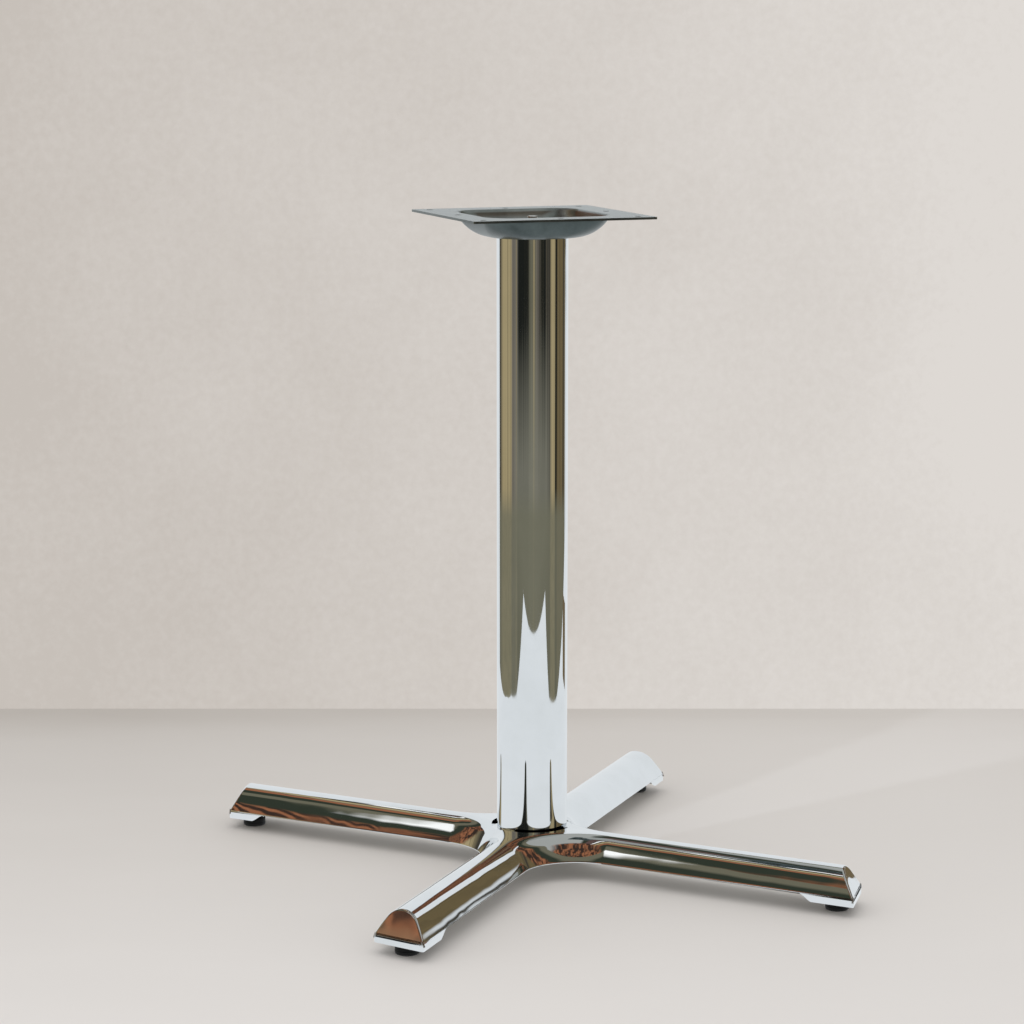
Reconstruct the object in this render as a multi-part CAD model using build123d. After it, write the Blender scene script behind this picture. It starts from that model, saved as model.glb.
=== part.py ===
from build123d import *
import math
import os

# Pedestal table base in bright chrome: a pressed cross foot, a round steel column and a dished top plate,
# all pulled together by one threaded rod down the middle. Millimetres, +Z up. The origin is on the floor
# under the column's axis, +X runs along the longer side of the footprint.

# Overall
overall_height = 711.0

# Column tube
column_diameter = 76.2
column_wall = 1.5
column_end_chamfer = 0.4

# Cross foot, one pressed shell
foot_wall = 2.5
crest_height = 46.8
skirt_height = 20.2
toe_edge_height = 12.2
leg_half_width = 30.0
flank_draft = 33.0
flank_foot_radius = 7.0
crest_flat = 1.2
leg_angle = 40.4
narrow_gap_radius = 57.0
wide_gap_radius = 75.0
toe_reach = 371.5
toe_slope = 29.5
toe_turn = 16.0
toe_foot_radius = 3.0
toe_rim_radius = 1.6
step_to_toe = 38.5
step_length = 18.0
seat_diameter = 88.0
seat_recess = 3.0

# Top plate, one dished pressing
plate_side = 203.2
plate_thickness = 2.5
plate_corner_radius = 2.0
dish_side = 135.0
dish_corner_radius = 24.0
dish_floor_side = 86.0
dish_floor_flat = 6.0
dish_depth = 22.4
dish_rim_angle = 15.0
dish_rim_radius = 5.0
dish_levels = 6
screw_hole_diameter = 7.0
corner_screw_spacing = 172.0
side_screw_circle = 168.0

# Tie rod and its fasteners
rod_diameter = 12.0
rod_clearance = 0.5
rod_thread_proud = 3.5
rod_end_chamfer = 1.2
nut_across_flats = 18.0
nut_height = 10.0
nut_chamfer = 1.1
washer_diameter = 37.0
washer_thickness = 3.0
spring_washer_diameter = 20.5
spring_washer_thickness = 3.0
spring_washer_gap = 2.0
spring_washer_clearance = 0.4
spring_washer_turn = 30.0

# Hub plate and the two locating rings
hub_plate_diameter = 76.0
hub_plate_thickness = 5.0
locator_thickness = 6.0
locator_clearance = 0.3
locator_chamfer = 1.5

# Levelling glides
glide_to_toe = 7.9
pad_diameter = 25.0
pad_height = 9.0
pad_edge_radius = 1.2
pad_foot_radius = 2.0
pad_neck_diameter = 15.0
stud_diameter = 8.0
stud_embed = 8.0
stud_point = 1.0
glide_travel = 10.0
stud_nut_clearance = 0.06
stud_pad_clearance = 0.02
stop_gap = 0.3
bracket_thickness = 3.0
bracket_length = 24.0
bracket_recess = 0.8
bracket_wall_clearance = 0.15
bracket_hole_clearance = 0.6
glide_nut_across_flats = 13.0
glide_nut_height = 6.5
glide_nut_chamfer = 0.8

# Sizes that follow from the driving ones
draft_tan = math.tan(math.radians(flank_draft))
crest_half_width = leg_half_width - (crest_height - skirt_height) * draft_tan
crest_fillet = (crest_half_width - crest_flat / 2) / math.tan(math.radians(90 - flank_draft) / 2)
column_radius = column_diameter / 2
column_bore_radius = column_radius - column_wall
rod_radius = rod_diameter / 2
rod_hole_radius = rod_radius + rod_clearance
dish_floor_top = overall_height - dish_depth
dish_floor_bottom = dish_floor_top - plate_thickness
seat_height = crest_height - seat_recess
column_length = dish_floor_bottom - seat_height
hub_underside = seat_height - foot_wall
hub_plate_underside = hub_underside - hub_plate_thickness
leg_overlength = toe_reach + 3 * leg_half_width
step_start = toe_reach - step_to_toe
glide_radius_from_axis = toe_reach - glide_to_toe
bracket_bottom = toe_edge_height + bracket_recess
bracket_top = bracket_bottom + bracket_thickness
pad_top = bracket_bottom - stop_gap
LEG_SIDES = {"back_right": (1, 1), "front_right": (1, -1), "back_left": (-1, 1), "front_left": (-1, -1)}


def leg_direction(side_x, side_y):
    """Unit vector along one leg, away from the column."""
    angle = math.radians(leg_angle)
    return Vector(side_x * math.cos(angle), side_y * math.sin(angle), 0)


def leg_turn(side_x, side_y):
    """Angle in plan from +X round to one leg, in degrees."""
    along = leg_direction(side_x, side_y)
    return math.degrees(math.atan2(along.Y, along.X))


def wall_half_width():
    """Half the clear width inside a toe, between the upright skirts."""
    return leg_half_width - foot_wall


def hollow_corners(shape, along_x):
    """The two inner corners between legs that lie on the X axis, or the two on the Y axis."""
    near = shape.vertices().filter_by(lambda v: math.hypot(v.X, v.Y) < leg_overlength / 2)
    return near.filter_by(lambda v: (abs(v.X) > abs(v.Y)) == along_x)


def cross_outline(height):
    """Plan outline of the four legs at a height on their flanks, with the hollows between them rounded."""
    inward = (height - skirt_height) * draft_tan
    shape = Sketch()
    for side_x, side_y in LEG_SIDES.values():
        leg = Pos(leg_overlength / 2, 0) * Rectangle(leg_overlength, 2 * (leg_half_width - inward))
        shape += Rot(0, 0, leg_turn(side_x, side_y)) * leg
    shape = fillet(hollow_corners(shape, True), narrow_gap_radius + inward)
    shape = fillet(hollow_corners(shape, False), wide_gap_radius + inward)
    return Pos(0, 0, height) * shape


def toe_planes(side_x, side_y):
    """The two planes of one toe's end: the sloping face, and the upright strip below skirt height."""
    along = leg_direction(side_x, side_y)
    toward_x_axis = Vector(side_x * abs(along.Y), -side_y * abs(along.X), 0)
    facing = along - toward_x_axis * math.tan(math.radians(toe_turn))
    slope = math.tan(math.radians(toe_slope))
    crest_end = along * toe_reach + Vector(0, 0, crest_height)
    strip_top = along * (toe_reach + (crest_height - skirt_height) * slope) + Vector(0, 0, skirt_height)
    return Plane(crest_end, z_dir=facing + Vector(0, 0, slope)), Plane(strip_top, z_dir=facing)


def cut_toe(body, side_x, side_y):
    """Cut one leg off at its toe's two planes."""
    reach = 4 * leg_half_width + crest_height
    for plane in toe_planes(side_x, side_y):
        body -= plane * Pos(0, 0, reach / 2) * Box(2 * reach, 2 * reach, reach)
    return body


def skirt_folds(body):
    """Level edges where the sloping faces turn into the upright skirt."""
    flat = body.edges().filter_by(lambda e: e.bounding_box().size.Z < 0.01)
    return flat.filter_by(lambda e: abs(e.center().Z - skirt_height) < 0.01)


def toe_rims(body):
    """Edges round the toes' end faces, apart from their lower edges."""
    rims = ShapeList()
    for face in body.faces().filter_by(GeomType.PLANE):
        centre = face.center()
        if math.hypot(centre.X, centre.Y) > toe_reach - leg_half_width:
            rims += face.edges().filter_by(lambda e: e.bounding_box().max.Z > toe_edge_height + 0.1)
    return rims


def cross_body():
    """Solid inside the pressing's outer face, from the toes' lower edge up."""
    skirt_outline = cross_outline(skirt_height)
    body = loft([skirt_outline, cross_outline(crest_height)], ruled=True)
    crest = body.faces().sort_by(Axis.Z)[-1].edges()
    crest = crest.filter_by(lambda e: e.center().length < toe_reach)
    body = fillet(crest, crest_fillet)
    body += extrude(skirt_outline, toe_edge_height - skirt_height)
    body = fillet(skirt_folds(body), flank_foot_radius)
    for side_x, side_y in LEG_SIDES.values():
        body = cut_toe(body, side_x, side_y)
    body = fillet(skirt_folds(body), toe_foot_radius)
    body = fillet(toe_rims(body), toe_rim_radius)
    return body - Pos(0, 0, seat_height + seat_recess) * Cylinder(seat_diameter / 2, 2 * seat_recess)


def skirt_trim():
    """Ring that cuts the skirt back from the toes' edge height, with a smooth step before each toe."""
    step_end = step_start + step_length
    with BuildSketch(Plane.XZ) as section:
        with BuildLine():
            Polyline((0, 0), (0, skirt_height), (step_start, skirt_height))
            Spline((step_start, skirt_height), (step_end, toe_edge_height), tangents=((1, 0), (1, 0)))
            Polyline((step_end, toe_edge_height), (step_end, 0), (0, 0))
        make_face()
    return revolve(section.sketch, Axis.Z)


def foot_shell():
    """The pressed cross foot: one wall thick, open below, closed at the toes, pierced for the tie rod."""
    body = cross_body()
    shell = offset(body, amount=-foot_wall, openings=[body.faces().sort_by(Axis.Z)[0]])
    shell -= skirt_trim()
    return shell - Pos(0, 0, seat_height) * Cylinder(rod_hole_radius, 4 * foot_wall)


def washer(outer_diameter, thickness, bore_radius, bottom):
    """Plain flat ring, its lower face at bottom."""
    ring = Cylinder(outer_diameter / 2, thickness) - Cylinder(bore_radius, thickness)
    return Pos(0, 0, bottom + thickness / 2) * ring


def spring_washer(bottom):
    """Flat split ring that keeps the nut from working loose."""
    ring = Cylinder(spring_washer_diameter / 2, spring_washer_thickness)
    ring -= Cylinder(rod_radius + spring_washer_clearance, spring_washer_thickness)
    slit = Box(spring_washer_diameter, spring_washer_gap, 2 * spring_washer_thickness)
    slit = Rot(0, 0, spring_washer_turn) * Pos(spring_washer_diameter / 2, 0, 0) * slit
    return Pos(0, 0, bottom + spring_washer_thickness / 2) * (ring - slit)


def hex_nut(across_flats, height, bore_radius, chamfer_size, bottom):
    """Hexagon nut with both faces' corners turned off; the bore is at the thread's outer diameter."""
    blank = extrude(RegularPolygon(across_flats / 2, 6, major_radius=False), height)
    corner_radius = across_flats / 2 / math.cos(math.pi / 6)
    lathe = Pos(0, 0, height / 2) * Cylinder(corner_radius, height)
    lathe = chamfer(lathe.edges().filter_by(GeomType.CIRCLE), chamfer_size / 2, chamfer_size)
    blank = blank & lathe
    return Pos(0, 0, bottom) * (blank - Cylinder(bore_radius, 4 * height))


def column_tube():
    """Round tube standing on the hub and reaching the dish's underside."""
    tube = Cylinder(column_radius, column_length) - Cylinder(column_bore_radius, column_length)
    rings = tube.edges().filter_by(GeomType.CIRCLE)
    outer_ends = rings.filter_by(lambda e: abs(e.radius - column_radius) < 0.01)
    tube = chamfer(outer_ends, column_end_chamfer)
    return Pos(0, 0, seat_height + column_length / 2) * tube


def locator_ring(bottom, chamfer_top):
    """Disc that fills one end of the tube and centres it on the tie rod."""
    radius = column_bore_radius - locator_clearance
    disc = Pos(0, 0, locator_thickness / 2) * Cylinder(radius, locator_thickness)
    lead = disc.edges().filter_by(GeomType.CIRCLE).sort_by(Axis.Z)[-1 if chamfer_top else 0]
    disc = chamfer(lead, locator_chamfer)
    return Pos(0, 0, bottom) * (disc - Cylinder(rod_hole_radius, 4 * locator_thickness))


def dish_section(share, outside):
    """One level of the dish, which goes from a rounded square at the rim to a nearly round floor.

    The side is a quarter of an ellipse; share runs from 0 at the floor to 1 at the rim.
    """
    angle = math.radians(90 - (90 - dish_rim_angle) * share)
    run = (dish_side - dish_floor_side) / 2 / math.cos(math.radians(dish_rim_angle))
    across = dish_depth * math.cos(angle)
    along = run * math.sin(angle)
    length = math.hypot(across, along)
    half = dish_floor_side / 2 + run * math.cos(angle) + outside * across / length
    flat = dish_floor_flat / 2 + (dish_side / 2 - dish_corner_radius - dish_floor_flat / 2) * share
    depth = dish_depth * (math.sin(angle) - math.sin(math.radians(dish_rim_angle)))
    depth = depth / (1 - math.sin(math.radians(dish_rim_angle))) + outside * along / length
    return Pos(0, 0, overall_height - depth) * RectangleRounded(2 * half, 2 * half, half - flat)


def dish_solid(outside, rise):
    """Loft through the dish's levels, at a distance outside its inner face, and up past the rim by rise."""
    sections = [dish_section(i / dish_levels, outside) for i in range(dish_levels + 1)]
    bowl = loft(sections)
    if rise > 0:
        bowl += extrude(sections[-1], rise)
    return bowl


def dish_rim(plate, height):
    """Level edges where the dish meets the flange, on its upper or its lower face."""
    reach = (plate_side + dish_side) / 4
    level = plate.edges().filter_by(lambda e: e.bounding_box().size.Z < 0.01)
    level = level.filter_by(lambda e: abs(e.center().Z - height) < 0.01)
    return level.filter_by(lambda e: max(abs(e.center().X), abs(e.center().Y)) < reach)


def top_plate():
    """Square flange with a drawn dish, screw holes near its corners and one in each side."""
    flange = extrude(RectangleRounded(plate_side, plate_side, plate_corner_radius), plate_thickness)
    flange = Pos(0, 0, overall_height - plate_thickness) * flange
    plate = flange + dish_solid(plate_thickness, 0)
    plate -= dish_solid(0, plate_thickness)
    plate = fillet(dish_rim(plate, overall_height), dish_rim_radius)
    plate = fillet(dish_rim(plate, overall_height - plate_thickness), dish_rim_radius - plate_thickness)
    hole = Cylinder(screw_hole_diameter / 2, 3 * plate_thickness)
    half = corner_screw_spacing / 2
    for x in (-half, half):
        for y in (-half, half):
            plate -= Pos(x, y, overall_height) * hole
    for turn in range(4):
        plate -= Rot(0, 0, 90 * turn) * Pos(side_screw_circle / 2, 0, overall_height) * hole
    plate -= Pos(0, 0, dish_floor_top) * Cylinder(rod_hole_radius, 3 * plate_thickness)
    return plate


def build_tie_rod_set():
    """Threaded rod with a flat washer, a spring washer and a nut at each end."""
    top_washer = dish_floor_top
    top_spring = top_washer + washer_thickness
    top_nut = top_spring + spring_washer_thickness
    bottom_washer = hub_plate_underside - washer_thickness
    bottom_spring = bottom_washer - spring_washer_thickness
    bottom_nut = bottom_spring - nut_height
    rod_top = top_nut + nut_height + rod_thread_proud
    rod_bottom = bottom_nut - rod_thread_proud
    rod = Cylinder(rod_radius, rod_top - rod_bottom)
    rod = chamfer(rod.edges().filter_by(GeomType.CIRCLE), rod_end_chamfer)
    nodes = {"tie_rod": Pos(0, 0, (rod_top + rod_bottom) / 2) * rod}
    nodes["top_washer"] = washer(washer_diameter, washer_thickness, rod_hole_radius, top_washer)
    nodes["top_spring_washer"] = spring_washer(top_spring)
    nodes["top_nut"] = hex_nut(nut_across_flats, nut_height, rod_radius, nut_chamfer, top_nut)
    nodes["bottom_washer"] = washer(washer_diameter, washer_thickness, rod_hole_radius, bottom_washer)
    nodes["bottom_spring_washer"] = spring_washer(bottom_spring)
    nodes["bottom_nut"] = hex_nut(nut_across_flats, nut_height, rod_radius, nut_chamfer, bottom_nut)
    return nodes


def glide_bracket(place):
    """Flat strip welded across the inside of a toe, pierced for the glide's stud."""
    half_width = wall_half_width() - bracket_wall_clearance
    strip = extrude(Rectangle(bracket_length, 2 * half_width), bracket_thickness)
    strip -= Cylinder(stud_diameter / 2 + bracket_hole_clearance, 4 * bracket_thickness)
    return place * Pos(0, 0, bracket_bottom) * strip


def glide_pad(place):
    """Moulded foot that stands on the floor, with a neck that stops against the bracket."""
    pad = Pos(0, 0, pad_height / 2) * Cylinder(pad_diameter / 2, pad_height)
    pad = fillet(pad.edges().filter_by(GeomType.CIRCLE).sort_by(Axis.Z)[-1], pad_edge_radius)
    pad = fillet(pad.edges().filter_by(GeomType.CIRCLE).sort_by(Axis.Z)[0], pad_foot_radius)
    pad += Pos(0, 0, pad_top / 2) * Cylinder(pad_neck_diameter / 2, pad_top)
    socket = Cylinder(stud_diameter / 2 + stud_pad_clearance, 2 * stud_embed)
    return place * (pad - Pos(0, 0, pad_top) * socket)


def glide_stud(place):
    """Threaded stud that stands in the pad and runs in the welded nut, long enough for the whole travel."""
    bottom = pad_top - stud_embed
    length = bracket_top + glide_nut_height + glide_travel + stud_point - bottom
    stud = Pos(0, 0, bottom + length / 2) * Cylinder(stud_diameter / 2, length)
    return place * chamfer(stud.edges().filter_by(GeomType.CIRCLE).sort_by(Axis.Z)[-1], stud_point)


def build_glides():
    """The four levelling glides, each with its bracket and welded nut inside the toe."""
    nodes = {}
    bore = stud_diameter / 2 + stud_nut_clearance
    for name, (side_x, side_y) in LEG_SIDES.items():
        place = Rot(0, 0, leg_turn(side_x, side_y)) * Pos(glide_radius_from_axis, 0, 0)
        nut = hex_nut(glide_nut_across_flats, glide_nut_height, bore, glide_nut_chamfer, bracket_top)
        nodes["glide_bracket_" + name] = glide_bracket(place)
        nodes["glide_nut_" + name] = place * nut
        nodes["glide_pad_" + name] = glide_pad(place)
        nodes["glide_stud_" + name] = glide_stud(place)
    return nodes


def build_parts():
    """Every piece by name, in its place."""
    nodes = {"cross_foot": foot_shell(), "column_tube": column_tube(), "top_plate": top_plate()}
    nodes["hub_plate"] = washer(hub_plate_diameter, hub_plate_thickness, rod_hole_radius,
                                hub_plate_underside)
    nodes["lower_locator"] = locator_ring(seat_height, True)
    nodes["upper_locator"] = locator_ring(dish_floor_bottom - locator_thickness, False)
    nodes.update(build_tie_rod_set())
    nodes.update(build_glides())
    return nodes


os.makedirs("parts", exist_ok=True)
for node_name, solid in build_parts().items():
    export_step(solid, "parts/" + node_name + ".step")
    print(node_name, round(solid.volume / 1000, 2), "cm3")
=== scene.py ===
# %% [markdown]
# A pedestal table base: a cross of four pressed legs and a round column, both in mirror chrome,
# a dull square plate with a drawn dish that the table top is screwed to, and four black
# levelling glides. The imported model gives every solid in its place, in metres, with the floor
# at height zero. What this lesson adds is what the solids don't carry: polished surfaces,
# threads, weld beads, moulded details, and the studio whose reflections make the metal look
# like metal.

import math

import bmesh
import bpy
from mathutils import Matrix, Vector


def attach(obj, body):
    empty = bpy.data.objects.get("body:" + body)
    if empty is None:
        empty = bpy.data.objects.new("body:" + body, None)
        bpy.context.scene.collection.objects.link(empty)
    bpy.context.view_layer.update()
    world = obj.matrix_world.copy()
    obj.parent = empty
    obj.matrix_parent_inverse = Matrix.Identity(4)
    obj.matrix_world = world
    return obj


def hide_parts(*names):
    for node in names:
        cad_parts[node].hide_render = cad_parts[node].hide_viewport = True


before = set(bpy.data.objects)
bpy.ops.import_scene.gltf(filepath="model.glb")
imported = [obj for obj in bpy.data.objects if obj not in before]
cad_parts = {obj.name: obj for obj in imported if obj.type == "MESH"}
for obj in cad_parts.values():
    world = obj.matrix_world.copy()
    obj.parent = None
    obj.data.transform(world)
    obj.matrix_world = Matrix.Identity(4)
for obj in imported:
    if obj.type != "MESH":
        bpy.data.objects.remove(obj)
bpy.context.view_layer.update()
scene = bpy.context.scene
MM = 0.001

# %% [markdown]
# The camera was worked out from the plate's corners, the glides' feet and the column's edges.
# It stands 3.6 m away and 0.95 m above the floor, and looks nine degrees down through a long
# lens, so that the column's sides stay almost upright. Making it first means that everything
# else can be judged through it.

# %% Camera
CAMERA_PLACE = Vector((3.3628, -1.2571, 0.954))
LOOK = Vector((-0.9274, 0.3403, -0.1552))
LENS_MM = 118.8

camera_data = bpy.data.cameras.new("camera")
camera_data.lens = LENS_MM
camera_data.sensor_width = 36
camera_data.clip_end = 100
camera = bpy.data.objects.new("camera", camera_data)
scene.collection.objects.link(camera)
camera.location = CAMERA_PLACE
camera.rotation_euler = LOOK.to_track_quat("-Z", "Y").to_euler()
scene.camera = camera
scene.view_settings.view_transform = "Standard"

# The studio is turned so that its +X points at the camera and its +Y to the picture's right.
STUDIO_TURN = Matrix.Rotation(math.atan2(-LOOK.y, -LOOK.x), 4, "Z")
print("camera", [round(v, 3) for v in camera.location])

# %% [markdown]
# Materials are node trees, and long chains of Math nodes are hard to read. A small class wraps
# one socket and gives it the usual operators, so that an expression such as 0.5 + wear * 0.2
# adds its nodes by itself. Every other node comes from one method of the tree, which takes the
# node's settings first.

# %% Shader kit


class Value:
    """One output socket, on which + - * / add Math nodes."""

    def __init__(self, paint, socket):
        self.paint = paint
        self.socket = socket

    def math(self, operation, first, second):
        return self.paint.math(operation, first, second)

    def __add__(self, other):
        return self.math("ADD", self, other)

    def __radd__(self, other):
        return self.math("ADD", other, self)

    def __sub__(self, other):
        return self.math("SUBTRACT", self, other)

    def __mul__(self, other):
        return self.math("MULTIPLY", self, other)

    def __truediv__(self, other):
        return self.math("DIVIDE", self, other)


class Node:
    """A node whose outputs are read by name or number."""

    def __init__(self, paint, made):
        self.paint = paint
        self.made = made

    def __getitem__(self, name):
        return Value(self.paint, self.made.outputs[name])


class Paint:
    """A node tree being written."""

    def __init__(self, tree):
        self.tree = tree
        tree.nodes.clear()

    def node(self, kind, settings=None, sockets=None):
        made = self.tree.nodes.new(kind)
        for name, value in (settings or {}).items():
            if name == "stops":
                self.fill_ramp(made.color_ramp, value)
            else:
                setattr(made, name, value)
        for name, value in (sockets or {}).items():
            if isinstance(value, Value):
                self.tree.links.new(value.socket, made.inputs[name])
            else:
                made.inputs[name].default_value = value
        return Node(self, made)

    def math(self, operation, first, second=0.0):
        return self.node("ShaderNodeMath", {"operation": operation}, {0: first, 1: second})["Value"]

    def fill_ramp(self, ramp, stops):
        while len(ramp.elements) > 1:
            ramp.elements.remove(ramp.elements[0])
        ramp.elements[0].position, ramp.elements[0].color = stops[0]
        for place, colour in stops[1:]:
            ramp.elements.new(place).color = colour

    def colour_ramp(self, factor, stops):
        """A ramp of colours, as (place, colour) pairs."""
        return self.node("ShaderNodeValToRGB", {"stops": stops}, {"Fac": factor})["Color"]

    def ramp(self, factor, stops):
        """A ramp of single values, as (place, value) pairs."""
        return self.colour_ramp(factor, [(at, (value, value, value, 1)) for at, value in stops])

    def rise(self, factor, low, high):
        """From 0 below one value to 1 above another."""
        return self.ramp(factor, [(low, 0.0), (high, 1.0)])

    def fall(self, factor, low, high):
        """From 1 below one value to 0 above another."""
        return self.ramp(factor, [(low, 1.0), (high, 0.0)])

    def noise(self, coordinates, scale, detail=3.0, roughness=0.5):
        sockets = {"Vector": coordinates, "Scale": scale, "Detail": detail, "Roughness": roughness}
        return self.node("ShaderNodeTexNoise", None, sockets)["Fac"]

    def stretched(self, coordinates, x, y, z):
        sockets = {"Vector": coordinates, "Scale": (x, y, z)}
        return self.node("ShaderNodeMapping", None, sockets)["Vector"]

    def colour_mix(self, factor, first, second):
        """From one colour to another; 6, 7 and 2 are the Mix node's colour sockets."""
        sockets = {0: factor, 6: first, 7: second}
        return self.node("ShaderNodeMix", {"data_type": "RGBA"}, sockets)[2]

    def bump(self, height, strength, distance):
        sockets = {"Height": height, "Strength": strength, "Distance": distance}
        return self.node("ShaderNodeBump", None, sockets)["Normal"]


def srgb(red, green, blue):
    """A colour as a picture shows it, 0 to 255, in the linear values that shaders take."""
    shown = [level / 255 for level in (red, green, blue)]
    linear = [((s + 0.055) / 1.055) ** 2.4 if s > 0.04 else s / 12.92 for s in shown]
    return (*linear, 1)


print("shader kit ready")

# %% [markdown]
# Bright chrome is nickel and chromium over polished steel: nearly a perfect mirror, a little
# blue. On the real base it is not quite flat. The tube keeps a faint draw pattern along its
# length, the pressing keeps soft waves from the tool, and handling leaves a thin film that
# blurs the mirror here and there. So the colour is almost constant, while roughness and a very
# low bump carry the life of the surface.

# %% Finishes: chrome


def new_finish(name):
    """A material, its writer and the Object coordinates of whatever wears it."""
    material = bpy.data.materials.new(name)
    material.use_nodes = True
    paint = Paint(material.node_tree)
    return material, paint, paint.node("ShaderNodeTexCoord")["Object"]


def finish_with(paint, sockets):
    """One Principled shader at the end of a finish."""
    shader = paint.node("ShaderNodeBsdfPrincipled", None, sockets)
    paint.node("ShaderNodeOutputMaterial", None, {"Surface": shader["BSDF"]})


def chrome(name, wave_size, wave_depth, grain):
    """Mirror plating; grain is how strongly the fine lines run along Z."""
    material, paint, place = new_finish(name)
    film = paint.rise(paint.noise(place, 14.0, 4.0, 0.6), 0.42, 0.75)
    waves = paint.noise(place, 1 / wave_size, 1.0, 0.4)
    lines = paint.noise(paint.stretched(place, 900, 900, 6), 1.0, 2.0)
    height = waves + lines * grain
    tone = paint.colour_mix(film, (0.83, 0.85, 0.87, 1), (0.77, 0.79, 0.80, 1))
    finish_with(
        paint,
        {
            "Base Color": tone,
            "Metallic": 1.0,
            "Roughness": film * 0.045 + 0.022,
            "Normal": paint.bump(height, 1.0, wave_depth),
        },
    )
    return material


tube_chrome = chrome("tube_chrome", wave_size=0.16, wave_depth=0.00008, grain=0.004)
foot_chrome = chrome("foot_chrome", wave_size=0.050, wave_depth=0.00035, grain=0.0)
print("chrome:", tube_chrome.name, foot_chrome.name)

# %% [markdown]
# The other metals are duller. The top plate is plated but not polished, with a cloudy grey-
# green bloom and fine rolling marks; its lower side is painted darker, as painted shade. Nuts,
# washers and the rod are zinc plated, and what is hidden inside is bare rolled steel. Only the
# glides' pads are plastic: black, matte, with a fine moulded grain.

# %% Finishes: dull metals and plastic


def dull_metal(name, light, dark, roughness, cloud_size, rolling, shaded_underside=None):
    """Steel with clouds of two tones, rolling marks along X and painted shade on its lower side."""
    material, paint, place = new_finish(name)
    clouds = paint.noise(place, 1 / cloud_size, 5.0, 0.62)
    # Painted shade: faces that point down take a darker colour, chosen by their normal.
    if shaded_underside is not None:
        normal = paint.node("ShaderNodeNewGeometry")["Normal"]
        facing = paint.node("ShaderNodeSeparateXYZ", None, {0: normal})["Z"]
        upward = paint.rise(facing + 0.5, 0.4, 0.6)
        light = paint.colour_mix(upward, shaded_underside, light)
        shaded_underside_dark = (shaded_underside[0] * 0.6, shaded_underside[1] * 0.6, shaded_underside[2] * 0.6, 1)
        dark = paint.colour_mix(upward, shaded_underside_dark, dark)
    marks = paint.noise(paint.stretched(place, 30, 1400, 1400), 1.0, 2.0)
    specks = paint.noise(place, 700.0, 2.0, 0.7)
    share = paint.rise(clouds * 0.8 + marks * 0.2, 0.38, 0.64)
    finish_with(
        paint,
        {
            "Base Color": paint.colour_mix(share, dark, light),
            "Metallic": 1.0,
            "Roughness": clouds * 0.16 + specks * 0.1 + (roughness - 0.12),
            "Normal": paint.bump(marks * rolling + specks * 0.5, 0.5, 0.00002),
        },
    )
    return material


def moulded_black(name):
    """Matte black plastic with a fine moulded grain and paler scuffs."""
    material, paint, place = new_finish(name)
    grain = paint.noise(place, 1800.0, 3.0, 0.7)
    scuffs = paint.rise(paint.noise(place, 160.0, 4.0, 0.65), 0.55, 0.8)
    tone = paint.colour_mix(scuffs, (0.004, 0.004, 0.004, 1), (0.014, 0.014, 0.013, 1))
    finish_with(
        paint,
        {
            "Base Color": tone,
            "Specular IOR Level": 0.2,
            "Roughness": 0.52 + scuffs * 0.2 + grain * 0.1,
            "Normal": paint.bump(grain, 0.35, 0.0001),
        },
    )
    return material


plate_steel = dull_metal(
    "plate_steel",
    light=(0.43, 0.465, 0.465, 1),
    dark=(0.27, 0.30, 0.30, 1),
    roughness=0.30,
    cloud_size=0.035,
    rolling=0.6,
    # The plate's lower side is painted darker here, as painted shade.
    shaded_underside=(0.115, 0.14, 0.14, 1),
)
zinc = dull_metal(
    "zinc",
    light=(0.70, 0.71, 0.70, 1),
    dark=(0.55, 0.56, 0.54, 1),
    roughness=0.30,
    cloud_size=0.006,
    rolling=0.3,
)
bare_steel = dull_metal(
    "bare_steel",
    light=(0.34, 0.33, 0.32, 1),
    dark=(0.20, 0.195, 0.19, 1),
    roughness=0.48,
    cloud_size=0.012,
    rolling=1.0,
)
foot_inside = dull_metal(
    "foot_inside",
    light=(0.50, 0.50, 0.49, 1),
    dark=(0.27, 0.25, 0.22, 1),
    roughness=0.34,
    cloud_size=0.05,
    rolling=0.4,
)
pad_plastic = moulded_black("pad_plastic")
print("dull finishes ready")

# %% [markdown]
# The solids that already have the right shape stay as they are and only get their finish.

# %% Finishes on the carried-over solids
LEGS = ("back_right", "front_right", "back_left", "front_left")
FINISH_BY_NODE = {
    "cross_foot": foot_chrome,
    "column_tube": tube_chrome,
    "top_plate": plate_steel,
    "hub_plate": bare_steel,
    "lower_locator": bare_steel,
    "upper_locator": bare_steel,
    "tie_rod": zinc,
    "top_washer": zinc,
    "top_spring_washer": zinc,
    "top_nut": zinc,
    "bottom_washer": zinc,
    "bottom_spring_washer": zinc,
    "bottom_nut": zinc,
}
for leg in LEGS:
    FINISH_BY_NODE["glide_bracket_" + leg] = bare_steel
    FINISH_BY_NODE["glide_nut_" + leg] = zinc
    FINISH_BY_NODE["glide_pad_" + leg] = pad_plastic
    FINISH_BY_NODE["glide_stud_" + leg] = zinc

for node_name, finish in FINISH_BY_NODE.items():
    node_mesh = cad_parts[node_name].data
    node_mesh.materials.clear()
    node_mesh.materials.append(finish)
print("finished solids", len(FINISH_BY_NODE))

# %% [markdown]
# Most new pieces are turned parts, so one helper spins a closed section round the column's axis
# or round a glide's. Another gives sharp edges the small round that every real edge has. A
# finished piece keeps its place in its mesh, rides on a body of the imported model and hides
# the solids that it stands for.

# %% Making and placing pieces
PIECES = {}
SHARP_ANGLE = math.radians(35)
MERGE_DISTANCE = 0.00001


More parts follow.
